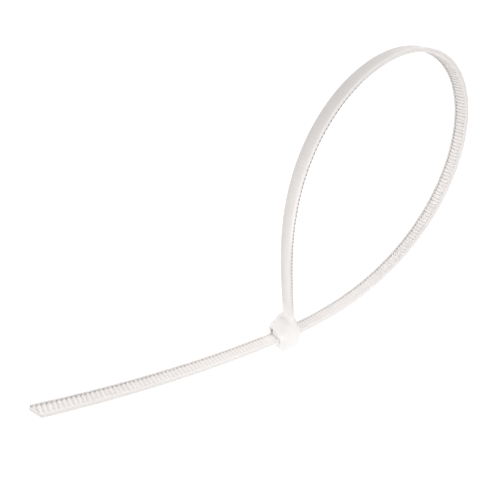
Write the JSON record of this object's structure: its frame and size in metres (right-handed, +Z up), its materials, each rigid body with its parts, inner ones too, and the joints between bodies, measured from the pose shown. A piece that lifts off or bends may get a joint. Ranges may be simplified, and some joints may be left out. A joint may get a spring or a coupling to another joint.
{
  "type": "cable tie",
  "caption": "Self-locking nylon cable tie drawn round into a loop, with a toothed strap passed through its own head and the tail cut off.",
  "frame": {"origin": "middle of the head's lower side face, which the tie lies on", "axes": "+Z up across the strap's width, +Y along the neck away from the head, +X along the slot towards the loop"},
  "size_m": [0.1454, 0.0833, 0.0076],
  "materials": {
    "nylon": "natural translucent nylon with a soft moulded sheen"
  },
  "bodies": {
    "root": {"cable_tie": "nylon"}
  },
  "joints": []
}
